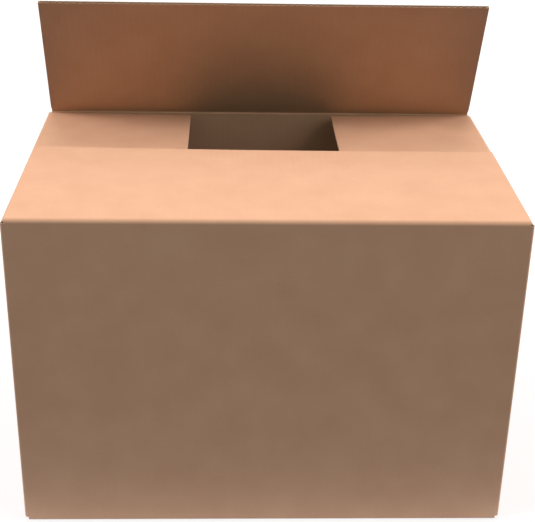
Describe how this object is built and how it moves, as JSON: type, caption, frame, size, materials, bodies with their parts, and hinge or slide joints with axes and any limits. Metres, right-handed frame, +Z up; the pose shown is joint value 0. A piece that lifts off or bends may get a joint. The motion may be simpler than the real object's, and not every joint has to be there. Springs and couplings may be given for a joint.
{
  "type": "corrugated shipping box",
  "caption": "Plain corrugated board shipping box, bottom shut, with outer top flaps that fold on their creases over shut inner flaps.",
  "frame": {"origin": "middle of the underside, on the surface that the box stands on", "axes": "+X along the length to the right, +Y from the front wall to the rear wall, +Z up"},
  "size_m": [0.463, 0.311, 0.4515],
  "materials": {
    "kraft_board": "matte unbleached kraft liner"
  },
  "bodies": {
    "carton": {"carton": "kraft_board"},
    "front_flap": {"front_flap": "kraft_board"},
    "rear_flap": {"rear_flap": "kraft_board"}
  },
  "joints": [
    {"name": "front_flap_fold", "type": "hinge", "parent": "carton", "child": "front_flap", "pos_m": [0, -0.1555, 0.3173], "axis": [1, 0, 0], "range_deg": [-3.4, 264.3]},
    {"name": "rear_flap_fold", "type": "hinge", "parent": "carton", "child": "rear_flap", "pos_m": [0, 0.1555, 0.3173], "axis": [-1, 0, 0], "range_deg": [-60, 207.5]}
  ]
}
